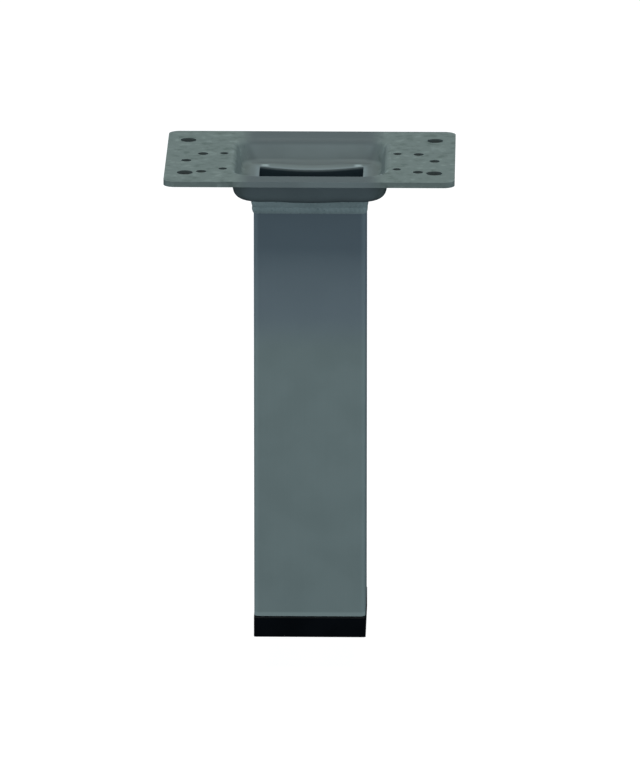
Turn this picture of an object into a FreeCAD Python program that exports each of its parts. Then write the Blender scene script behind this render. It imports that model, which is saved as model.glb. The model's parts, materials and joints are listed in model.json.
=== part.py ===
import FreeCAD, Part
import math
import os

# Square table leg with a pressed mounting plate and a levelling foot.
# Millimetres, +Z up, the floor at z = 0, the plate's long side along X, the seen side towards -Y.

# Overall height, from the floor to the plate's top with the foot screwed right in
leg_height = 260.0

# Square tube
tube_width = 60.0
tube_wall = 2.0
tube_corner_radius = 3.0

# Mounting plate
plate_length = 155.0
plate_depth = 110.0
plate_corner_radius = 6.0
sheet = 3.0

# Pressed dish in the plate: drafted walls, a flat ring, and a shallow cone down to the tube
dish_floor_margin = 7.6
dish_draft_angle = 12.0
dish_floor_depth = 12.7
dish_corner_radius = 9.0
dish_bend_radius = 2.6
rim_radius = 3.6
cone_angle = 14.0
cone_land = 0.4

# Weld between the dish and the tube
weld_leg_down = 6.8
weld_leg_out = 1.7
weld_toe = 0.3

# Punched holes in the wings
corner_hole_diameter = 8.5
corner_hole_inset_x = 11.0
corner_hole_inset_y = 20.0
outer_hole_diameter = 5.5
outer_hole_pitch = 11.4
outer_hole_far_offset = 5.5
outer_hole_near_inset = 22.5
inner_hole_diameter = 4.5
inner_hole_land = 1.0
inner_hole_far_offset = 6.5
inner_hole_near_inset = 28.5
edge_hole_diameter = 5.5
edge_hole_near_offset = 9.0

# Foot pad
foot_overhang = 0.2
foot_height = 11.3
foot_edge_radius = 1.2
foot_top_chamfer = 0.6
foot_rim_wall = 3.0
foot_top_thickness = 3.6
foot_boss_wall = 4.0
foot_rib = 2.2
foot_rib_recess = 0.5
foot_gap = 0.4

# Levelling bolt and nut
thread_diameter = 10.0
bolt_shank_length = 60.0
bolt_tip_chamfer = 1.2
bolt_head_flats = 17.0
bolt_head_height = 6.4
hex_chamfer_angle = 30.0
hex_pocket_clearance = 0.1
nut_flats = 17.0
nut_height = 8.0
thread_clearance = 0.06
shank_clearance = 0.4

# Plug in the tube's lower end
insert_height = 36.0
insert_wall = 2.4
insert_floor = 4.0
insert_recess = 0.3
insert_slack = 0.35
insert_grip_width = 5.0
insert_grip_offset = 14.0
insert_boss_wall = 3.2
insert_nut_seat = 27.5
insert_rib = 2.4

# How far a cutting block reaches past the face that it cuts
overshoot = 3.0

# Sizes and heights that follow from the ones above
tube_bore = tube_width - 2 * tube_wall
tube_bottom = foot_height + foot_gap
insert_bottom = tube_bottom + insert_recess
plate_under = leg_height - sheet
draft = math.radians(dish_draft_angle)
cone_slope = math.tan(math.radians(cone_angle))
dish_rim_half = tube_width / 2 + dish_floor_margin + dish_floor_depth * math.tan(draft)
bend_setback = math.tan(math.pi / 4 - draft / 2)
rim_flat_half = dish_rim_half + rim_radius * bend_setback
cone_radius = tube_width / 2 + dish_floor_margin - dish_bend_radius * bend_setback - cone_land
cone_point = leg_height - dish_floor_depth - 2 * sheet - cone_radius * cone_slope


def square_wire(half_x, half_y, radius, z):
    """Closed outline of a rectangle with round corners at height z."""
    arcs = []
    for quarter, (side_x, side_y) in enumerate(((1, 1), (-1, 1), (-1, -1), (1, -1))):
        centre = FreeCAD.Vector(side_x * (half_x - radius), side_y * (half_y - radius), z)
        circle = Part.Circle(centre, FreeCAD.Vector(0, 0, 1), radius)
        start = quarter * math.pi / 2
        arcs.append(Part.ArcOfCircle(circle, start, start + math.pi / 2).toShape())
    outline = []
    for arc, following in zip(arcs, arcs[1:] + arcs[:1]):
        side = Part.LineSegment(arc.lastVertex().Point, following.firstVertex().Point)
        outline += [arc, side.toShape()]
    return Part.Wire(outline)


def square_block(half_x, half_y, radius, low, high):
    """Upright block with a round-cornered rectangular outline."""
    face = Part.Face(square_wire(half_x, half_y, radius, low))
    return face.extrude(FreeCAD.Vector(0, 0, high - low))


def tapered_block(low_half, low_radius, low, high_half, high_radius, high):
    """Upright square block whose outline changes evenly from one height to the other."""
    lower = square_wire(low_half, low_half, low_radius, low)
    upper = square_wire(high_half, high_half, high_radius, high)
    return Part.makeLoft([lower, upper], True, True)


def hexagon(flats, low, high):
    """Upright hexagonal prism on the Z axis."""
    radius = flats / math.sqrt(3)
    points = []
    for index in range(7):
        angle = math.radians(60 * index)
        points.append(FreeCAD.Vector(radius * math.cos(angle), radius * math.sin(angle), low))
    return Part.Face(Part.makePolygon(points)).extrude(FreeCAD.Vector(0, 0, high - low))


def cylinder(diameter, low, high, x=0.0, y=0.0):
    return Part.makeCylinder(diameter / 2, high - low, FreeCAD.Vector(x, y, low))


def edges_at_height(shape, z, tolerance=0.01):
    """Edges whose every point lies at one height."""
    chosen = []
    for edge in shape.Edges:
        if abs(edge.BoundBox.ZMin - z) < tolerance and abs(edge.BoundBox.ZMax - z) < tolerance:
            chosen.append(edge)
    return chosen


def edges_within(edges, reach):
    """Those of the edges that stay inside a square of this half size about the axis."""
    chosen = []
    for edge in edges:
        box = edge.BoundBox
        if max(-box.XMin, box.XMax, -box.YMin, box.YMax) < reach:
            chosen.append(edge)
    return chosen


def dish_body(offset, top):
    """Filled dish: drafted walls with a rounded lower edge, and the cone that leads down to the tube.
    The offset moves every face outwards by a sheet's thickness."""
    floor = leg_height - dish_floor_depth - offset
    wall_shift = offset / math.cos(draft)
    low_half = dish_rim_half - (leg_height - floor) * math.tan(draft) + wall_shift
    high_half = dish_rim_half - (leg_height - top) * math.tan(draft) + wall_shift
    corner_shift = dish_corner_radius - dish_rim_half
    walls = tapered_block(low_half, low_half + corner_shift, floor, high_half, high_half + corner_shift, top)
    walls = walls.makeFillet(dish_bend_radius + offset, edges_at_height(walls, floor))
    radius = cone_radius + offset * math.tan(math.radians(cone_angle / 2))
    height = radius * cone_slope
    return walls.fuse(Part.makeCone(0.0, radius, height, FreeCAD.Vector(0, 0, floor - height)))


def dish_underside():
    """Filled dish bounded by the sheet's lower face, ending inside the plate's thickness."""
    return dish_body(sheet, leg_height - sheet / 2)


def hole_places():
    """Diameter, x and y of every punched hole: each group is mirrored to the other wing."""
    corner_x = plate_length / 2 - corner_hole_inset_x
    corner_y = plate_depth / 2 - corner_hole_inset_y
    inner_x = rim_flat_half + inner_hole_land + inner_hole_diameter / 2
    outer_x = inner_x + outer_hole_pitch
    one_wing = [
        (corner_hole_diameter, corner_x, corner_y),
        (corner_hole_diameter, corner_x, -corner_y),
        (outer_hole_diameter, outer_x, outer_hole_far_offset),
        (outer_hole_diameter, outer_x, outer_hole_near_inset - plate_depth / 2),
        (inner_hole_diameter, inner_x, inner_hole_far_offset),
        (inner_hole_diameter, inner_x, inner_hole_near_inset - plate_depth / 2),
        (edge_hole_diameter, corner_x, -edge_hole_near_offset),
    ]
    return [(size, side * x, y) for size, x, y in one_wing for side in (1, -1)]


def mounting_plate():
    """Pressed plate: flat wings, a dish with a rounded rim, the opening over the tube, the punched holes."""
    flat = square_block(plate_length / 2, plate_depth / 2, plate_corner_radius, plate_under, leg_height)
    plate = flat.fuse(dish_underside()).cut(dish_body(0.0, leg_height + overshoot))
    rim = edges_within(edges_at_height(plate, leg_height), plate_depth / 2 - sheet)
    plate = plate.makeFillet(rim_radius, rim)
    half = tube_bore / 2
    plate = plate.cut(square_block(half, half, tube_corner_radius - tube_wall, cone_point, leg_height))
    for size, x, y in hole_places():
        plate = plate.cut(cylinder(size, plate_under - overshoot, leg_height + overshoot, x, y))
    return plate


def leg_tube():
    """Square tube whose upper end is shaped to the dish's underside."""
    half = tube_width / 2
    inside = tube_bore / 2
    outer = square_block(half, half, tube_corner_radius, tube_bottom, plate_under)
    inner = square_block(inside, inside, tube_corner_radius - tube_wall, tube_bottom - overshoot, leg_height)
    return outer.cut(inner).cut(dish_underside())


def weld_bead():
    """Fillet weld all round the tube, fitted to the tube's faces and to the dish's underside."""
    half = tube_width / 2
    seat = leg_height - dish_floor_depth - sheet - (cone_radius - half) * cone_slope
    low = seat - weld_leg_down
    high = seat + overshoot
    growth = weld_toe + (weld_leg_out - weld_toe) * (high - low) / weld_leg_down
    bead = tapered_block(
        half + weld_toe, tube_corner_radius + weld_toe, low, half + growth, tube_corner_radius + growth, high
    )
    bead = bead.cut(dish_underside())
    return bead.cut(square_block(half, half, tube_corner_radius, low - overshoot, high + overshoot))


def turned_hexagon(flats, low, high, low_chamfer, high_chamfer):
    """Hexagonal prism with its corners turned off at the chosen ends."""
    reach = flats / math.sqrt(3)
    setback = reach - flats / 2
    turned = cylinder(2 * reach, low, high)
    for z, wanted in ((low, low_chamfer), (high, high_chamfer)):
        if wanted:
            drop = setback * math.tan(math.radians(hex_chamfer_angle))
            turned = turned.makeChamfer(drop, setback, edges_at_height(turned, z))
    return hexagon(flats, low, high).common(turned)


def nut_seat_height():
    return insert_bottom + insert_nut_seat


def thread_nut():
    low = nut_seat_height()
    high = low + nut_height
    nut = turned_hexagon(nut_flats, low, high, False, True)
    return nut.cut(cylinder(thread_diameter + 2 * thread_clearance, low - overshoot, high + overshoot))


def levelling_bolt():
    seat = foot_height - foot_top_thickness
    head = turned_hexagon(bolt_head_flats, seat - bolt_head_height, seat, True, False)
    shank = cylinder(thread_diameter, seat - bolt_head_height / 2, seat + bolt_shank_length)
    shank = shank.makeChamfer(bolt_tip_chamfer, edges_at_height(shank, seat + bolt_shank_length))
    return head.fuse(shank).removeSplitter()


def spokes(count, start_angle, thickness, length, low, high):
    """Ribs that run out from the axis, evenly turned about it."""
    ribs = []
    for index in range(count):
        rib = Part.makeBox(length, thickness, high - low, FreeCAD.Vector(0, -thickness / 2, low))
        rib.rotate(FreeCAD.Vector(0, 0, 0), FreeCAD.Vector(0, 0, 1), start_angle + index * 360.0 / count)
        ribs.append(rib)
    return ribs


def foot_pad():
    """Moulded foot: closed top, rim, ribs and a boss with a six-sided pocket for the bolt's head."""
    half = tube_width / 2 + foot_overhang
    ceiling = foot_height - foot_top_thickness
    pad = square_block(half, half, foot_edge_radius, 0.0, foot_height)
    pad = pad.makeChamfer(foot_top_chamfer, edges_at_height(pad, foot_height))
    inside = half - foot_rim_wall
    pocket_flats = bolt_head_flats + 2 * hex_pocket_clearance
    boss_diameter = 2 * pocket_flats / math.sqrt(3) + 2 * foot_boss_wall
    hollow = square_block(inside, inside, foot_edge_radius, -overshoot, ceiling)
    web = cylinder(boss_diameter, 0.0, ceiling)
    for start_angle, length in ((0.0, inside), (45.0, inside * math.sqrt(2))):
        for rib in spokes(4, start_angle, foot_rib, length, foot_rib_recess, ceiling):
            web = web.fuse(rib)
    pad = pad.cut(hollow.cut(web))
    pad = pad.cut(hexagon(pocket_flats, -overshoot, ceiling))
    return pad.cut(cylinder(thread_diameter + 2 * shank_clearance, 0.0, foot_height + overshoot))


def tube_insert():
    """Ribbed plug: floor, walls with grip strips against the tube, and a boss that holds the nut."""
    half = tube_bore / 2 - insert_slack
    low = insert_bottom
    high = low + insert_height
    floor_top = low + insert_floor
    boss_top = nut_seat_height() + nut_height
    pocket_flats = nut_flats + 2 * hex_pocket_clearance
    boss_diameter = 2 * pocket_flats / math.sqrt(3) + 2 * insert_boss_wall
    plug = square_block(half, half, tube_corner_radius, low, high)
    inside = half - insert_wall
    hollow = square_block(inside, inside, tube_corner_radius, floor_top, high + overshoot)
    web = cylinder(boss_diameter, floor_top, boss_top)
    for rib in spokes(4, 0.0, insert_rib, half - insert_wall / 2, floor_top, boss_top):
        web = web.fuse(rib)
    plug = plug.cut(hollow.cut(web))
    for angle in (0, 90, 180, 270):
        for side in (-1, 1):
            start = side * insert_grip_offset - insert_grip_width / 2
            corner = FreeCAD.Vector(half - insert_wall / 2, start, floor_top)
            grip = Part.makeBox(insert_wall / 2 + insert_slack, insert_grip_width, high - floor_top, corner)
            grip.rotate(FreeCAD.Vector(0, 0, 0), FreeCAD.Vector(0, 0, 1), angle)
            plug = plug.fuse(grip)
    plug = plug.cut(hexagon(pocket_flats, nut_seat_height(), high))
    return plug.cut(cylinder(thread_diameter + 2 * shank_clearance, low - overshoot, high)).removeSplitter()


pieces = {
    "mounting_plate": mounting_plate(),
    "leg_tube": leg_tube(),
    "weld_bead": weld_bead(),
    "tube_insert": tube_insert(),
    "thread_nut": thread_nut(),
    "levelling_bolt": levelling_bolt(),
    "foot_pad": foot_pad(),
}

os.makedirs("parts", exist_ok=True)
for name, shape in pieces.items():
    box = shape.BoundBox
    print(name, "valid", shape.isValid(), "solids", len(shape.Solids), "volume", round(shape.Volume, 1),
          "z", round(box.ZMin, 2), round(box.ZMax, 2))
    shape.exportStep("parts/" + name + ".step")
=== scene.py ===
import json
import math

import bmesh
import bpy
from mathutils import Matrix, Vector


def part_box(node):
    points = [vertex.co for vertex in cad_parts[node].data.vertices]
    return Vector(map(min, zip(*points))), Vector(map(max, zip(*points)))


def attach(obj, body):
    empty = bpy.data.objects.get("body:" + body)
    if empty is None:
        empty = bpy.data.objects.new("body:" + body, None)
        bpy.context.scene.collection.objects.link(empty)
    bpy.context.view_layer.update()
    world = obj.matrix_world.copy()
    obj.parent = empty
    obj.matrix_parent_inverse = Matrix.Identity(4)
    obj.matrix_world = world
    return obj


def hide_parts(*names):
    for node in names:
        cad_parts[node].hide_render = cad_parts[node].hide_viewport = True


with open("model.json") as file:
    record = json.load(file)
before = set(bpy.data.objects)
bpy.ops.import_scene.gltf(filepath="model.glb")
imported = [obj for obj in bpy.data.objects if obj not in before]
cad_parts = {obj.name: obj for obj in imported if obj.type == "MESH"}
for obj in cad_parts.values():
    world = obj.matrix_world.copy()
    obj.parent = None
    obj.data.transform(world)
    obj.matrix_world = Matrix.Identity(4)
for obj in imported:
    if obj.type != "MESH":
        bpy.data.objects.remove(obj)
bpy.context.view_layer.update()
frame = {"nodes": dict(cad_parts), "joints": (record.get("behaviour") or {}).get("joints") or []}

# Camera: a long lens far away, a little to the right and from above, as in the photograph
IMAGE_WIDTH = 640
CAMERA_DISTANCE = 6.0
CAMERA_AZIMUTH = math.radians(1.0)
CAMERA_ELEVATION = math.radians(15.55)
CAMERA_TARGET = Vector((0.0050, 0.0, 0.1351))
CAMERA_REACH = 50.0
SENSOR_WIDTH = 36.0
PIXELS_PER_METRE = 1854.5

# Stage: a white floor just below the lowest level of the foot, with a glow that hides its shadows
FLOOR_HALF = 6.0
FLOOR_COLOUR = (0.10, 0.10, 0.10, 1.0)
FLOOR_ROUGHNESS = 0.9
FLOOR_GLOW_COLOUR = (1.0, 1.0, 1.0, 1.0)
FLOOR_GLOW = 0.96
FLOOR_CLEARANCE = 0.0001

# Studio light: a faint cool sky, a soft box high in front, and low boxes: front, right, back, left
SKY_COLOUR = (0.82, 0.98, 1.08, 1.0)
SKY_STRENGTH = 0.22
GROUND_STRENGTH = 0.05
SKY_FADE = (-0.05, 0.45)
LIGHT_AIM = Vector((0.0, 0.0, 0.22))
KEY_DISTANCE = 3.0
KEY_ELEVATION = math.radians(68.0)
KEY_SIZE = (2.4, 1.1)
KEY_POWER = 74.0
KEY_COLOUR = (1.0, 0.99, 0.95)
FILL_DISTANCE = 2.2
FILL_HEIGHTS = (0.50, 0.85, 0.70, 0.85)
FILL_SIZE = (1.2, 0.8)
FILL_POWERS = (14.7, 19.0, 22.0, 19.0)
FILL_COLOUR = (0.85, 0.97, 1.10)

# Satin coat on all the steel: clouds in its colour and gloss, and orange peel
CLOUD_SCALE = 38.0
CLOUD_DETAIL = 4.0
CLOUD_FADE = (0.35, 0.65)
CLOUD_GLOSS = 0.10
PEEL_SCALE = 900.0
PEEL_DETAIL = 2.0
PEEL_STRENGTH = 0.12
GRAIN_DEPTH = 0.0001
COAT_METAL = 0.05
COAT_SPECULAR = 0.20

# Coat of the tube with its painted shade and painted highlights, and the uncoated steel inside it with
# near-black painted shade at the mouth; fades are heights, or distances from a face or an end
TUBE_DARK = (0.171, 0.219, 0.214, 1.0)
TUBE_LIGHT = (0.184, 0.235, 0.230, 1.0)
TUBE_ROUGHNESS = 0.60
TUBE_LINES = (0.128, 0.168, 0.167, 1.0)
LINE_STRETCH = (1.0, 1.0, 0.01)
LINE_SCALE = 1200.0
LINE_DETAIL = 2.0
LINE_SHARE = 0.18
# Painted shade: the tube's coat darker and bluer under the plate, from these heights up to the weld
TUBE_PAINTED_SHADE = (0.139, 0.174, 0.207, 1.0)
TUBE_SHADE_FADE = (0.158, 0.182)
TUBE_SHADE_SHARE = 0.6
# Painted highlights: paler coat on the tube's rounded corners and along its cut lower end
TUBE_EDGE_HIGHLIGHT = (0.225, 0.283, 0.276, 1.0)
CORNER_FADE = (0.0030, 0.0012)
CORNER_SHARE = 0.15
CUT_END_FADE = (0.0028, 0.0016)
# Uncoated steel inside the tube, and near-black painted shade towards the mouth and on the plate's cut
# edge below the lip
MILL_STEEL = (0.115, 0.130, 0.136, 1.0)
MOUTH_PAINTED_SHADE = (0.014, 0.026, 0.033, 1.0)
MOUTH_SHADE_FADE = (0.205, 0.230)
MOUTH_TOLERANCE = 0.0002

# Coat of the plate; fades are distances from the leg's axis, or depths below the upper face or the lip,
# and patch fades are values of the pattern
PLATE_DARK = (0.135, 0.166, 0.167, 1.0)
PLATE_LIGHT = (0.153, 0.188, 0.188, 1.0)
PLATE_ROUGHNESS = 0.72
PLATE_STRIP = (0.088, 0.108, 0.110, 1.0)
STRIP_FADE = (0.0045, 0.0012)
EDGE_MARGIN = 0.0001
# Painted shade in the bend at the foot of the dish's wall
DISH_PAINTED_SHADE = (0.108, 0.132, 0.133, 1.0)
DISH_SHADE_FADES = ((0.0318, 0.0358), (0.0386, 0.0368))
WING_COAT = (0.134, 0.169, 0.158, 1.0)
WING_DULL = (0.096, 0.127, 0.115, 1.0)
WING_PALE = (0.173, 0.215, 0.200, 1.0)
WING_FADE = (0.030, 0.041)
PATCH_SCALE = 210.0
PATCH_DETAIL = 2.0
DULL_PATCH_FADE = (0.52, 0.74)
PALE_PATCH_FADE = (0.46, 0.26)
# Painted shade on the upright walls of the punched holes
HOLE_PAINTED_SHADE = (0.056, 0.070, 0.068, 1.0)
HOLE_FIELD_START = 0.044
HOLE_FIELD_MARGIN = 0.006
UPRIGHT_LIMIT = 0.1
# Painted highlight: paler coat along the dish's lip round the mouth
LIP_PAINTED_HIGHLIGHT = (0.176, 0.218, 0.226, 1.0)
LIP_HIGHLIGHT_FADE = (0.0315, 0.0285)
# Painted shade: the plate's cut edge inside the mouth turns near-black below the lip
LIP_SHADE_FADE = (-0.0002, 0.0016)
# Painted highlight spots at the ends of the dish's front and back lips
LIP_END_HIGHLIGHT = (0.300, 0.370, 0.375, 1.0)
END_HIGHLIGHT_ACROSS = ((0.0222, 0.0245), (0.0280, 0.0258))
END_HIGHLIGHT_DEPTHS = ((0.0284, 0.0298), (0.0336, 0.0314))

# Coat of the weld
WELD_DARK = (0.245, 0.310, 0.300, 1.0)
WELD_LIGHT = (0.315, 0.390, 0.380, 1.0)
WELD_ROUGHNESS = 0.70
SPECK_SCALE = 700.0
SPECK_DETAIL = 3.0
SPECK_FADE = (0.62, 0.74)
SPECK_SHARE = 0.5

# Black plastic of the foot and the plug
BLACK_DARK = (0.0008, 0.0017, 0.0028, 1.0)
BLACK_LIGHT = (0.0018, 0.0030, 0.0045, 1.0)
BLACK_PATCH_SCALE = 60.0
BLACK_PATCH_DETAIL = 3.0
BLACK_PATCH_FADE = (0.3, 0.7)
BLACK_GRAIN_SCALE = 1400.0
BLACK_GRAIN_DETAIL = 3.0
BLACK_GRAIN_STRENGTH = 0.25
BLACK_ROUGHNESS = 0.62
BLACK_SPECULAR = 0.10

# Zinc on the bolt and the nut
ZINC_DARK = (0.46, 0.47, 0.46, 1.0)
ZINC_LIGHT = (0.66, 0.66, 0.63, 1.0)
ZINC_SCALE = 240.0
ZINC_DETAIL = 4.0
ZINC_ROUGHNESS = (0.32, 0.48)
ZINC_METAL = 0.55

# Points nearer than MERGE are one point, and points nearer than CUT_SNAP to a cut lie on it
MERGE = 0.000002
CUT_SNAP = 0.0000001

# Pressed plate: a flat sheet, and a dish in it that sinks like a bowl towards the tube's mouth
SHEET = 0.003
PLATE_CORNER = 0.006
PLATE_CORNER_STEPS = 8
PLATE_CREASE = math.radians(35.0)
DISH_DEPTH = 0.0127
DISH_DRAFT = math.radians(12.0)
DISH_FLOOR_HALF = 0.0376
DISH_BEND = 0.0026
DISH_RIM = 0.0036
DISH_STRIP = 0.0006
DISH_CORNER_CENTRE = 0.027
DISH_BEND_STEPS = 9
DISH_FLOOR_STEPS = 6
DISH_FACE_STEPS = 36
DISH_CORNER_STEPS = 12
BOWL_RADIUS = 0.0396
BOWL_SLOPE = 0.165
BOWL_SHARES = (0.35, 0.85)
TUBE_WALL = 0.002
MOUTH_LAP = 0.00005
MOUTH_SPREAD = 0.0007

# Punched holes on one wing: diameter, and place across and in depth
HOLE_STEPS = 32
HOLES = (
    (0.0085, 0.0665, 0.0350),
    (0.0085, 0.0665, -0.0350),
    (0.0055, 0.0665, -0.0090),
    (0.0055, 0.05786, 0.0055),
    (0.0055, 0.05786, -0.0325),
    (0.0045, 0.04646, 0.0065),
    (0.0045, 0.04646, -0.0265),
)

# Weld: two passes laid one above the other, with the ripples of each pass
TUBE_CORNER = 0.003
WELD_TOE = 0.0002
WELD_REACH = 0.0010
WELD_ROOT = 0.0008
WELD_BURIED = 0.0003
WELD_FACE_STEPS = 120
WELD_CORNER_STEPS = 12
WELD_CREASE = math.radians(50.0)
PASS_COUNT = 2
PASS_HEIGHT = 0.0034
PASS_CROWN = 0.00042
PASS_STEPS = 7
RIPPLE_PITCH = 0.0027
RIPPLE_DEPTH = 0.00028
RIPPLE_MIDDLE = 0.5
RIPPLE_BOW = 0.45
RIPPLE_DRIFT = 0.6
RIPPLE_DRIFT_SPAN = 3

# Levelling bolt: its head, its shank and one pitch of the thread, as shares of the depth and the pitch
BOLT_HEAD = 0.0064
BOLT_RADIUS = 0.005
BOLT_CREASE = math.radians(25.0)
HEAD_TRIM = 0.0003
SHANK_LAP = 0.0004
FLAT_ANGLE = math.radians(0.2)
THREAD_PITCH = 0.0015
THREAD_DEPTH = 0.00092
THREAD_STEPS = 36
THREAD_SPARE_TURNS = 2
THREAD_OUTLINE = ((0.0, 0.0), (0.0, 0.25), (1.0, 0.5625), (1.0, 0.6875), (0.0, 1.0))
TIP_CHAMFER = 0.0012


def node_in(material, kind, **inputs):
    """New shader node with some of its sockets set."""
    node = material.node_tree.nodes.new(kind)
    for name, value in inputs.items():
        node.inputs[name.replace("_", " ")].default_value = value
    return node


def feed(material, socket, given):
    """Link an output to a socket, or set the socket to a plain value."""
    if isinstance(given, bpy.types.NodeSocket):
        material.node_tree.links.new(given, socket)
    else:
        socket.default_value = given


def work_out(material, operation, first, second=0.0):
    """Result of one arithmetic step on outputs or plain numbers."""
    node = node_in(material, "ShaderNodeMath")
    node.operation = operation
    feed(material, node.inputs[0], first)
    feed(material, node.inputs[1], second)
    return node.outputs[0]


def product(material, factors):
    """Factors multiplied together, so a mask holds only where all its parts do."""
    result = factors[0]
    for factor in factors[1:]:
        result = work_out(material, "MULTIPLY", result, factor)
    return result


def fade(material, given, start, end):
    """0 at start, 1 at end and smooth between them; start may be the larger."""
    node = node_in(material, "ShaderNodeMapRange", From_Min=start, From_Max=end)
    node.interpolation_type = "SMOOTHSTEP"
    feed(material, node.inputs["Value"], given)
    return node.outputs["Result"]


def mix(material, share, first, second):
    """Colour that goes from the first to the second as the share rises."""
    node = node_in(material, "ShaderNodeMix")
    node.data_type = "RGBA"
    feed(material, node.inputs["Factor"], share)
    feed(material, node.inputs["A"], first)
    feed(material, node.inputs["B"], second)
    return node.outputs["Result"]


def noise(material, place, scale, detail):
    """Soft random pattern between 0 and 1."""
    node = node_in(material, "ShaderNodeTexNoise", Scale=scale, Detail=detail)
    feed(material, node.inputs["Vector"], place)
    return node.outputs["Fac"]


def stretched(material, place, scale):
    """Place with its axes scaled, for grain that runs one way."""
    node = node_in(material, "ShaderNodeMapping", Scale=scale)
    feed(material, node.inputs["Vector"], place)
    return node.outputs["Vector"]


def roughen(material, shader, pattern, least, most):
    """Let the shader's roughness follow a pattern between two values."""
    node = node_in(material, "ShaderNodeMapRange", To_Min=least, To_Max=most)
    feed(material, node.inputs["Value"], pattern)
    feed(material, shader.inputs["Roughness"], node.outputs["Result"])


def grain(material, shader, pattern, strength):
    """Let a fine pattern stand out of the surface."""
    node = node_in(material, "ShaderNodeBump", Strength=strength, Distance=GRAIN_DEPTH)
    feed(material, node.inputs["Height"], pattern)
    feed(material, shader.inputs["Normal"], node.outputs["Normal"])


def new_material(name):
    """Empty node material and its principled shader."""
    material = bpy.data.materials.new(name)
    material.use_nodes = True
    return material, material.node_tree.nodes["Principled BSDF"]


def place_on(material):
    """Place on the object that carries the material."""
    return node_in(material, "ShaderNodeTexCoord").outputs["Object"]


def axes_of(material, place):
    """Distances from the leg's axis along X and Y, and the height."""
    node = node_in(material, "ShaderNodeSeparateXYZ")
    feed(material, node.inputs["Vector"], place)
    across = work_out(material, "ABSOLUTE", node.outputs["X"])
    depth = work_out(material, "ABSOLUTE", node.outputs["Y"])
    return across, depth, node.outputs["Z"]


def satin_coat(name, dark, light, roughness):
    """Grey-green satin coat on steel: slight clouds in colour and gloss, and a fine orange peel."""
    material, shader = new_material(name)
    place = place_on(material)
    clouds = fade(material, noise(material, place, CLOUD_SCALE, CLOUD_DETAIL), *CLOUD_FADE)
    colour = mix(material, clouds, dark, light)
    roughen(material, shader, clouds, roughness - CLOUD_GLOSS, roughness)
    grain(material, shader, noise(material, place, PEEL_SCALE, PEEL_DETAIL), PEEL_STRENGTH)
    shader.inputs["Metallic"].default_value = COAT_METAL
    shader.inputs["Specular IOR Level"].default_value = COAT_SPECULAR
    return material, shader, place, colour


def mouth_mask(material, widest):
    """1 on the faces that line the tube's square mouth."""
    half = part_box("leg_tube")[1].x - TUBE_WALL
    return work_out(material, "LESS_THAN", widest, half + MOUTH_TOLERANCE)


def below_lip(material, across, depth, height):
    """Depth below the dish's lip, which sinks with the bowl towards the middle of each side."""
    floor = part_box("mounting_plate")[1].z - DISH_DEPTH
    across_square = work_out(material, "MULTIPLY", across, across)
    depth_square = work_out(material, "MULTIPLY", depth, depth)
    radius = work_out(material, "SQRT", work_out(material, "ADD", across_square, depth_square))
    inside = work_out(material, "SUBTRACT", BOWL_RADIUS, radius)
    inside = work_out(material, "MAXIMUM", inside, 0.0)
    sunk = work_out(material, "MULTIPLY", inside, BOWL_SLOPE)
    lip = work_out(material, "SUBTRACT", floor, sunk)
    return work_out(material, "SUBTRACT", lip, height)


def hole_mask(material, across, depth):
    """1 on the upright walls of the holes punched through the wings, not on the plate's own edges."""
    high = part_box("mounting_plate")[1]
    surface = node_in(material, "ShaderNodeNewGeometry")
    normal = node_in(material, "ShaderNodeSeparateXYZ")
    feed(material, normal.inputs["Vector"], surface.outputs["True Normal"])
    level = work_out(material, "ABSOLUTE", normal.outputs["Z"])
    limits = (
        work_out(material, "LESS_THAN", level, UPRIGHT_LIMIT),
        work_out(material, "GREATER_THAN", across, HOLE_FIELD_START),
        work_out(material, "LESS_THAN", across, high.x - HOLE_FIELD_MARGIN),
        work_out(material, "LESS_THAN", depth, high.y - HOLE_FIELD_MARGIN),
    )
    return product(material, limits)


def strip_mask(material, depth, height):
    """1 on the plate's flat and on the dish's rim, not on the cut edge at the front and back."""
    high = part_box("mounting_plate")[1]
    start, end = STRIP_FADE
    upper = fade(material, height, high.z - start, high.z - end)
    within = work_out(material, "LESS_THAN", depth, high.y - EDGE_MARGIN)
    return product(material, (upper, within))


def lip_highlight_spots(material, across, depth):
    """1 on the small painted highlights beside the ends of the dish's front and back lips."""
    limits = [work_out(material, "GREATER_THAN", depth, across)]
    for distance, fades in ((across, END_HIGHLIGHT_ACROSS), (depth, END_HIGHLIGHT_DEPTHS)):
        for start, end in fades:
            limits.append(fade(material, distance, start, end))
    return product(material, limits)


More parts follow.
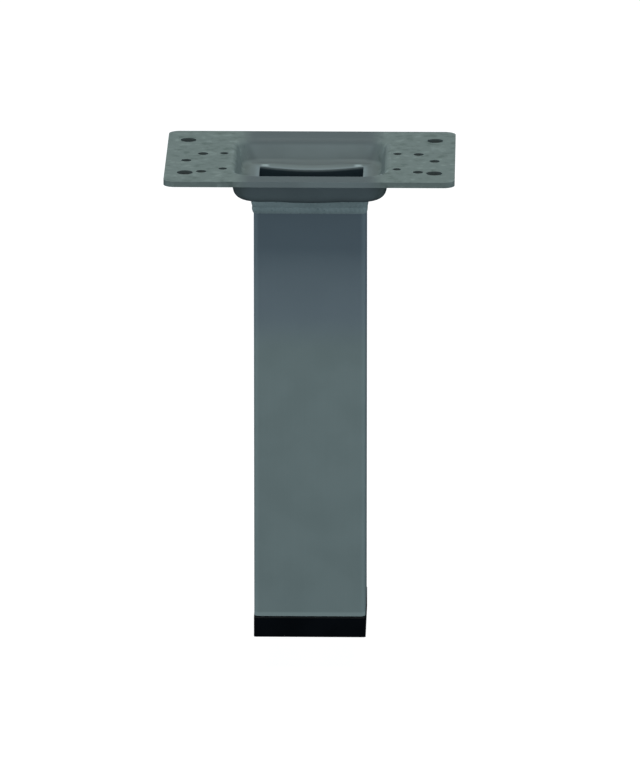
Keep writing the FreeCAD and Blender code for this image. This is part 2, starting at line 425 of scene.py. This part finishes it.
def plate_coat():
    """Coat of the plate: darker round the dish, painted shade in the bend at the foot of its wall,
    mottled on the wings, painted shade in the punched holes, painted highlights on the lip of the dish
    and near-black painted shade below it."""
    material, shader, place, colour = satin_coat("plate_coat", PLATE_DARK, PLATE_LIGHT, PLATE_ROUGHNESS)
    across, depth, height = axes_of(material, place)
    widest = work_out(material, "MAXIMUM", across, depth)
    colour = mix(material, strip_mask(material, depth, height), colour, PLATE_STRIP)
    # Painted shade in the bend at the foot of the dish's wall
    dish_shade = product(material, [fade(material, widest, start, end) for start, end in DISH_SHADE_FADES])
    colour = mix(material, dish_shade, colour, DISH_PAINTED_SHADE)
    patches = noise(material, place, PATCH_SCALE, PATCH_DETAIL)
    mottle = mix(material, fade(material, patches, *DULL_PATCH_FADE), WING_COAT, WING_DULL)
    mottle = mix(material, fade(material, patches, *PALE_PATCH_FADE), mottle, WING_PALE)
    colour = mix(material, fade(material, across, *WING_FADE), colour, mottle)
    # Painted shade on the walls of the punched holes
    colour = mix(material, hole_mask(material, across, depth), colour, HOLE_PAINTED_SHADE)
    # Painted highlight along the dish's lip
    colour = mix(material, fade(material, widest, *LIP_HIGHLIGHT_FADE), colour, LIP_PAINTED_HIGHLIGHT)
    # Painted highlights at the ends of the front and back lips
    colour = mix(material, lip_highlight_spots(material, across, depth), colour, LIP_END_HIGHLIGHT)
    # Painted shade: near-black on the plate's cut edge in the mouth, below the lip
    below_lip_shade = fade(material, below_lip(material, across, depth, height), *LIP_SHADE_FADE)
    bare_and_shade_mask = product(material, (mouth_mask(material, widest), below_lip_shade))
    feed(material, shader.inputs["Base Color"], mix(material, bare_and_shade_mask, colour, MOUTH_PAINTED_SHADE))
    return material


def tube_coat():
    """Coat of the tube: faint drawing lines along it, darker and bluer painted shade under the plate
    towards the weld, painted highlights on its corners and at its cut lower end. The steel inside is
    uncoated, with near-black painted shade towards the mouth."""
    material, shader, place, colour = satin_coat("tube_coat", TUBE_DARK, TUBE_LIGHT, TUBE_ROUGHNESS)
    across, depth, height = axes_of(material, place)
    low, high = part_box("leg_tube")
    lines = noise(material, stretched(material, place, LINE_STRETCH), LINE_SCALE, LINE_DETAIL)
    colour = mix(material, product(material, (lines, LINE_SHARE)), colour, TUBE_LINES)
    # Painted shade, darker and bluer, on the tube under the plate
    shade_under_plate = product(material, (fade(material, height, *TUBE_SHADE_FADE), TUBE_SHADE_SHARE))
    colour = mix(material, shade_under_plate, colour, TUBE_PAINTED_SHADE)
    narrowest = work_out(material, "MINIMUM", across, depth)
    # Painted highlights on the tube's corners and at its cut lower end
    corner = fade(material, narrowest, high.x - CORNER_FADE[0], high.x - CORNER_FADE[1])
    cut_end = fade(material, height, low.z + CUT_END_FADE[0], low.z + CUT_END_FADE[1])
    edge_highlight = work_out(material, "MAXIMUM", product(material, (corner, CORNER_SHARE)), cut_end)
    colour = mix(material, edge_highlight, colour, TUBE_EDGE_HIGHLIGHT)
    # Uncoated steel inside the tube, with near-black painted shade towards the mouth
    steel = mix(material, fade(material, height, *MOUTH_SHADE_FADE), MILL_STEEL, MOUTH_PAINTED_SHADE)
    bare_and_shade_mask = mouth_mask(material, work_out(material, "MAXIMUM", across, depth))
    feed(material, shader.inputs["Base Color"], mix(material, bare_and_shade_mask, colour, steel))
    return material


def weld_coat():
    """Coat over the weld: paler and drier than on the drawn steel, with dark specks."""
    material, shader, place, colour = satin_coat("weld_coat", WELD_DARK, WELD_LIGHT, WELD_ROUGHNESS)
    specks = fade(material, noise(material, place, SPECK_SCALE, SPECK_DETAIL), *SPECK_FADE)
    colour = mix(material, product(material, (specks, SPECK_SHARE)), colour, TUBE_LINES)
    feed(material, shader.inputs["Base Color"], colour)
    return material


def moulded_black():
    """Matt black moulded plastic with a fine spark-eroded grain."""
    material, shader = new_material("moulded_black")
    place = place_on(material)
    patches = noise(material, place, BLACK_PATCH_SCALE, BLACK_PATCH_DETAIL)
    colour = mix(material, fade(material, patches, *BLACK_PATCH_FADE), BLACK_DARK, BLACK_LIGHT)
    feed(material, shader.inputs["Base Color"], colour)
    erosion = noise(material, place, BLACK_GRAIN_SCALE, BLACK_GRAIN_DETAIL)
    grain(material, shader, erosion, BLACK_GRAIN_STRENGTH)
    shader.inputs["Roughness"].default_value = BLACK_ROUGHNESS
    shader.inputs["Specular IOR Level"].default_value = BLACK_SPECULAR
    return material


def zinc_plate():
    """Dull bright zinc on steel, with faint mottling."""
    material, shader = new_material("zinc_plate")
    mottle = noise(material, place_on(material), ZINC_SCALE, ZINC_DETAIL)
    feed(material, shader.inputs["Base Color"], mix(material, mottle, ZINC_DARK, ZINC_LIGHT))
    roughen(material, shader, mottle, *ZINC_ROUGHNESS)
    shader.inputs["Metallic"].default_value = ZINC_METAL
    return material


def dress(node, material):
    """Give a carried-over node its finish."""
    mesh = frame["nodes"][node].data
    mesh.materials.clear()
    mesh.materials.append(material)


def add_piece(name, shape, material, crease):
    """Object at the origin from a finished bmesh, smooth except at edges sharper than the crease."""
    mesh = bpy.data.meshes.new(name)
    shape.to_mesh(mesh)
    shape.free()
    mesh.shade_smooth()
    mesh.set_sharp_from_angle(angle=crease)
    mesh.materials.append(material)
    piece = bpy.data.objects.new(name, mesh)
    bpy.context.scene.collection.objects.link(piece)
    return piece


def take_in(shape, other):
    """Add the geometry of another bmesh to a shape, and free that bmesh."""
    mesh = bpy.data.meshes.new("taken_in")
    other.to_mesh(mesh)
    other.free()
    shape.from_mesh(mesh)
    bpy.data.meshes.remove(mesh)


def draw_line(shape, points, closed):
    """Row of edges through points, and back to the first where it is closed."""
    verts = [shape.verts.new(point) for point in points]
    pairs = list(zip(verts, verts[1:]))
    if closed:
        pairs.append((verts[-1], verts[0]))
    return [shape.edges.new(pair) for pair in pairs]


def parts_of(geometry, kind):
    """The vertices, edges or faces in what an operator gives back."""
    return [part for part in geometry if isinstance(part, kind)]


def sweep_round_tube(shape, line, flat, face_steps, corner_steps):
    """Carry a row of edges along one side and round a corner, and turn copies to the other sides."""
    upwards = Vector((0.0, 0.0, 1.0))
    stride = (2 * flat / face_steps, 0.0, 0.0)
    run = bmesh.ops.spin(shape, geom=line, axis=upwards, dvec=stride, angle=0.0, steps=face_steps)
    bmesh.ops.spin(
        shape,
        geom=parts_of(run["geom_last"], bmesh.types.BMEdge),
        cent=(flat, -flat, 0.0),
        axis=upwards,
        angle=math.pi / 2,
        steps=corner_steps,
    )
    side = shape.verts[:] + shape.edges[:] + shape.faces[:]
    for quarter in range(1, 4):
        copy = bmesh.ops.duplicate(shape, geom=side)
        verts = parts_of(copy["geom"], bmesh.types.BMVert)
        bmesh.ops.rotate(shape, verts=verts, matrix=Matrix.Rotation(quarter * math.pi / 2, 3, "Z"))
    bmesh.ops.remove_doubles(shape, verts=shape.verts, dist=MERGE)


def core_point(place, flat):
    """Nearest point of the upright square core whose corners are the centres of the swept corners."""
    return Vector((max(-flat, min(flat, place.x)), max(-flat, min(flat, place.y)), place.z))


def dish_outline(top, mouth):
    """Line of the dish's upper face, as distances from the axis and heights, from the flat inwards."""
    steep = math.pi / 2 - DISH_DRAFT
    setback = math.tan(steep / 2)
    rim = DISH_FLOOR_HALF + DISH_DEPTH * math.tan(DISH_DRAFT) + DISH_RIM * setback
    bend = DISH_FLOOR_HALF - DISH_BEND * setback
    floor = top - DISH_DEPTH
    angles = [steep * step / DISH_BEND_STEPS for step in range(DISH_BEND_STEPS + 1)]
    outline = [(rim + DISH_STRIP, top)]
    for angle in angles:
        outline.append((rim - DISH_RIM * math.sin(angle), top - DISH_RIM * (1 - math.cos(angle))))
    for angle in reversed(angles):
        outline.append((bend + DISH_BEND * math.sin(angle), floor + DISH_BEND * (1 - math.cos(angle))))
    for step in range(1, DISH_FLOOR_STEPS + 1):
        outline.append((bend + (mouth - bend) * step / DISH_FLOOR_STEPS, floor))
    return outline


def sink_bowl(shape, top):
    """Let the dish's floor fall towards the axis, and the wall stretch down to meet it."""
    start, end = BOWL_SHARES
    for vert in shape.verts:
        share = ((top - vert.co.z) / DISH_DEPTH - start) / (end - start)
        share = max(0.0, min(1.0, share))
        inside = max(0.0, BOWL_RADIUS - vert.co.xy.length)
        vert.co.z -= share * inside * BOWL_SLOPE


def square_mouth(shape, mouth):
    """Stand the cut edge of the mouth upright, flush from the lip to the underside."""
    reach = mouth - DISH_CORNER_CENTRE
    for vert in shape.verts:
        core = core_point(vert.co, DISH_CORNER_CENTRE)
        outwards = vert.co - core
        if outwards.length < reach + MOUTH_SPREAD:
            vert.co = core + outwards.normalized() * reach


def punch_outline(shape, high):
    """Edges of the plate's rounded rectangle and of its holes, at the height of the upper face."""
    sheet = bmesh.ops.create_grid(shape, x_segments=1, y_segments=1, size=1.0)
    bmesh.ops.scale(shape, vec=(high.x, high.y, 1.0), verts=sheet["verts"])
    bmesh.ops.bevel(
        shape,
        geom=sheet["verts"],
        offset=PLATE_CORNER,
        affect="VERTICES",
        segments=PLATE_CORNER_STEPS,
        profile=0.5,
        material=-1,
    )
    bmesh.ops.delete(shape, geom=shape.faces[:], context="FACES_ONLY")
    for side in (-1, 1):
        for diameter, across, depth in HOLES:
            place = Matrix.Translation((side * across, depth, 0.0))
            bmesh.ops.create_circle(shape, segments=HOLE_STEPS, radius=diameter / 2, matrix=place)
    bmesh.ops.translate(shape, verts=shape.verts, vec=(0.0, 0.0, high.z))


def fill_flat(shape, top):
    """Fill the flat between the plate's outline, its holes and the dish."""
    rims = []
    for edge in shape.edges:
        lowest = min(vert.co.z for vert in edge.verts)
        if len(edge.link_faces) < 2 and lowest > top - MERGE:
            rims.append(edge)
    bmesh.ops.triangle_fill(shape, use_beauty=True, edges=rims)


def make_plate(material):
    """The plate as one pressed sheet: the dish is swept round the mouth, the flat is filled round its
    holes, and the whole face is given the sheet's thickness."""
    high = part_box("mounting_plate")[1]
    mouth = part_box("leg_tube")[1].x - TUBE_WALL - MOUTH_LAP
    shape = bmesh.new()
    points = [(-DISH_CORNER_CENTRE, -reach, height) for reach, height in dish_outline(high.z, mouth)]
    line = draw_line(shape, points, False)
    sweep_round_tube(shape, line, DISH_CORNER_CENTRE, DISH_FACE_STEPS, DISH_CORNER_STEPS)
    sink_bowl(shape, high.z)
    sheet = bmesh.new()
    punch_outline(sheet, high)
    take_in(shape, sheet)
    fill_flat(shape, high.z)
    bmesh.ops.recalc_face_normals(shape, faces=shape.faces)
    bmesh.ops.solidify(shape, geom=shape.faces[:], thickness=SHEET)
    square_mouth(shape, mouth)
    bmesh.ops.recalc_face_normals(shape, faces=shape.faces)
    plate = add_piece("pressed_plate", shape, material, PLATE_CREASE)
    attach(plate, "leg")
    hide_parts("mounting_plate")


def weld_outline(low, high):
    """Section of the weld, as distances from the tube's face and heights: crowned passes, toe first."""
    outline = [(-WELD_ROOT, low)]
    lean = (WELD_REACH - WELD_TOE) / (PASS_COUNT * PASS_HEIGHT)
    for number in range(PASS_COUNT):
        for step in range(PASS_STEPS + 1):
            share = step / PASS_STEPS
            climb = (number + share) * PASS_HEIGHT
            crown = PASS_CROWN * math.sin(math.pi * share)
            if number == 0 or step > 0:
                outline.append((WELD_TOE + lean * climb + crown, low + climb))
    outline.append((outline[-1][0], high))
    outline.append((-WELD_ROOT, high))
    return outline


def ripple_weld(shape, low, flat):
    """Press the crescent ripples of the passes into the weld's outer face."""
    for vert in shape.verts:
        outwards = vert.co - core_point(vert.co, flat)
        if outwards.length > TUBE_CORNER:
            share = ((vert.co.z - low) / PASS_HEIGHT) % 1.0
            place = (vert.co.x + vert.co.y) / RIPPLE_PITCH
            drift = RIPPLE_DRIFT * math.sin(place / RIPPLE_DRIFT_SPAN)
            bow = RIPPLE_BOW * (2 * share - 1) ** 2
            swell = abs(math.sin(math.pi * (place + drift + bow))) - RIPPLE_MIDDLE
            vert.co += outwards.normalized() * RIPPLE_DEPTH * swell


def make_weld(material):
    """Two rippled passes all round the tube, in place of the plain bead."""
    low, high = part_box("weld_bead")
    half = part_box("leg_tube")[1].x
    flat = half - TUBE_CORNER
    shape = bmesh.new()
    section = weld_outline(low.z, high.z + WELD_BURIED)
    ring = draw_line(shape, [(-flat, -half - reach, height) for reach, height in section], True)
    sweep_round_tube(shape, ring, flat, WELD_FACE_STEPS, WELD_CORNER_STEPS)
    ripple_weld(shape, low.z, flat)
    bmesh.ops.recalc_face_normals(shape, faces=shape.faces)
    weld = add_piece("rippled_weld", shape, material, WELD_CREASE)
    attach(weld, "leg")
    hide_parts("weld_bead")


def cut_flat(shape, height, facing):
    """Cut a closed shape level at a height, take away the side that the cut faces and close the cut."""
    bmesh.ops.bisect_plane(
        shape,
        geom=shape.verts[:] + shape.edges[:] + shape.faces[:],
        dist=CUT_SNAP,
        plane_co=(0.0, 0.0, height),
        plane_no=(0.0, 0.0, facing),
        clear_outer=True,
    )
    rim = [edge for edge in shape.edges if edge.is_boundary]
    bmesh.ops.holes_fill(shape, edges=rim, sides=0)


def chamfer_tip(shape, core, high):
    """Narrow the thread towards the shank's end."""
    for vert in shape.verts:
        across = math.hypot(vert.co.x, vert.co.y)
        limit = max(core - TIP_CHAMFER / 2, BOLT_RADIUS - TIP_CHAMFER + high - vert.co.z)
        if across > limit:
            vert.co.x *= limit / across
            vert.co.y *= limit / across


def threaded_shank(low, high):
    """Rod with a helical thread: one pitch of its outline is carried round and up, then cut level."""
    shape = bmesh.new()
    core = BOLT_RADIUS - THREAD_DEPTH
    start = low - THREAD_SPARE_TURNS * THREAD_PITCH
    turns = math.ceil((high - start) / THREAD_PITCH) + THREAD_SPARE_TURNS
    points = [
        (core + share * THREAD_DEPTH, 0.0, start + rise * THREAD_PITCH)
        for share, rise in THREAD_OUTLINE
    ]
    bmesh.ops.spin(
        shape,
        geom=draw_line(shape, points, False),
        axis=(0.0, 0.0, 1.0),
        dvec=(0.0, 0.0, THREAD_PITCH / THREAD_STEPS),
        angle=turns * 2 * math.pi,
        steps=turns * THREAD_STEPS,
    )
    bmesh.ops.remove_doubles(shape, verts=shape.verts, dist=MERGE)
    bmesh.ops.recalc_face_normals(shape, faces=shape.faces)
    chamfer_tip(shape, core, high)
    cut_flat(shape, high, 1.0)
    cut_flat(shape, low, -1.0)
    return shape


def make_bolt(material):
    """The levelling bolt with its thread cut: the solid's own head, and a threaded shank on it."""
    low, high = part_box("levelling_bolt")
    seat = low.z + BOLT_HEAD - HEAD_TRIM
    shape = bmesh.new()
    shape.from_mesh(frame["nodes"]["levelling_bolt"].data)
    bmesh.ops.remove_doubles(shape, verts=shape.verts, dist=MERGE)
    bmesh.ops.dissolve_limit(shape, angle_limit=FLAT_ANGLE, verts=shape.verts, edges=shape.edges)
    cut_flat(shape, seat, 1.0)
    take_in(shape, threaded_shank(seat - SHANK_LAP, high.z))
    bolt = add_piece("threaded_bolt", shape, material, BOLT_CREASE)
    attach(bolt, "foot")
    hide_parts("levelling_bolt")


def make_floor():
    """White floor that neither lights the leg nor shows in its gloss."""
    travel = max(joint["range_m"][1] for joint in frame["joints"])
    shape = bmesh.new()
    bmesh.ops.create_grid(shape, x_segments=1, y_segments=1, size=FLOOR_HALF)
    bmesh.ops.translate(shape, verts=shape.verts, vec=(0.0, 0.0, -travel - FLOOR_CLEARANCE))
    mesh = bpy.data.meshes.new("floor")
    shape.to_mesh(mesh)
    shape.free()
    material, shader = new_material("pale_floor")
    shader.inputs["Base Color"].default_value = FLOOR_COLOUR
    shader.inputs["Roughness"].default_value = FLOOR_ROUGHNESS
    shader.inputs["Specular IOR Level"].default_value = 0.0
    shader.inputs["Emission Color"].default_value = FLOOR_GLOW_COLOUR
    shader.inputs["Emission Strength"].default_value = FLOOR_GLOW
    mesh.materials.append(material)
    floor = bpy.data.objects.new("floor", mesh)
    floor.visible_diffuse = False
    floor.visible_glossy = False
    bpy.context.scene.collection.objects.link(floor)


def area_light(name, place, size, power, colour, glossy):
    """Soft box that points at the leg and is out of the camera's sight."""
    data = bpy.data.lights.new(name, "AREA")
    data.shape = "RECTANGLE"
    data.size, data.size_y = size
    data.energy = power
    data.color = colour
    lamp = bpy.data.objects.new(name, data)
    lamp.location = place
    lamp.rotation_euler = (LIGHT_AIM - place).to_track_quat("-Z", "Y").to_euler()
    lamp.visible_camera = False
    lamp.visible_glossy = glossy
    bpy.context.scene.collection.objects.link(lamp)


def make_sky():
    """Sky that is dim below the horizon."""
    world = bpy.data.worlds.new("studio")
    world.use_nodes = True
    nodes = world.node_tree.nodes
    links = world.node_tree.links
    sky = nodes["Background"]
    sky.inputs["Color"].default_value = SKY_COLOUR
    direction = nodes.new("ShaderNodeTexCoord")
    split = nodes.new("ShaderNodeSeparateXYZ")
    links.new(direction.outputs["Generated"], split.inputs["Vector"])
    rise = nodes.new("ShaderNodeMapRange")
    rise.interpolation_type = "SMOOTHSTEP"
    rise.inputs["From Min"].default_value, rise.inputs["From Max"].default_value = SKY_FADE
    rise.inputs["To Min"].default_value = GROUND_STRENGTH
    rise.inputs["To Max"].default_value = SKY_STRENGTH
    links.new(split.outputs["Z"], rise.inputs["Value"])
    links.new(rise.outputs["Result"], sky.inputs["Strength"])
    bpy.context.scene.world = world


def light_the_studio():
    """The sky, the key box, and the four low boxes."""
    make_sky()
    key_direction = Vector((0.0, -math.cos(KEY_ELEVATION), math.sin(KEY_ELEVATION)))
    key_place = LIGHT_AIM + KEY_DISTANCE * key_direction
    area_light("key_box", key_place, KEY_SIZE, KEY_POWER, KEY_COLOUR, True)
    for quarter, (height, power) in enumerate(zip(FILL_HEIGHTS, FILL_POWERS)):
        angle = quarter * math.pi / 2
        place = Vector((FILL_DISTANCE * math.sin(angle), -FILL_DISTANCE * math.cos(angle), height))
        area_light("fill_box_" + str(quarter), place, FILL_SIZE, power, FILL_COLOUR, False)


def place_camera():
    """Camera with the lens that gives the photograph's scale at the target."""
    data = bpy.data.cameras.new("camera")
    data.sensor_fit = "HORIZONTAL"
    data.sensor_width = SENSOR_WIDTH
    data.lens = PIXELS_PER_METRE * CAMERA_DISTANCE * SENSOR_WIDTH / IMAGE_WIDTH
    data.clip_end = CAMERA_REACH
    camera = bpy.data.objects.new("camera", data)
    level = math.cos(CAMERA_ELEVATION)
    towards = Vector((
        math.sin(CAMERA_AZIMUTH) * level,
        -math.cos(CAMERA_AZIMUTH) * level,
        math.sin(CAMERA_ELEVATION),
    ))
    camera.location = CAMERA_TARGET + CAMERA_DISTANCE * towards
    camera.rotation_euler = (-towards).to_track_quat("-Z", "Y").to_euler()
    bpy.context.scene.collection.objects.link(camera)
    bpy.context.scene.camera = camera


black = moulded_black()
zinc = zinc_plate()
dress("leg_tube", tube_coat())
for node in ("tube_insert", "foot_pad"):
    dress(node, black)
dress("thread_nut", zinc)
make_plate(plate_coat())
make_weld(weld_coat())
make_bolt(zinc)

make_floor()
light_the_studio()
place_camera()
bpy.context.scene.view_settings.view_transform = "Standard"
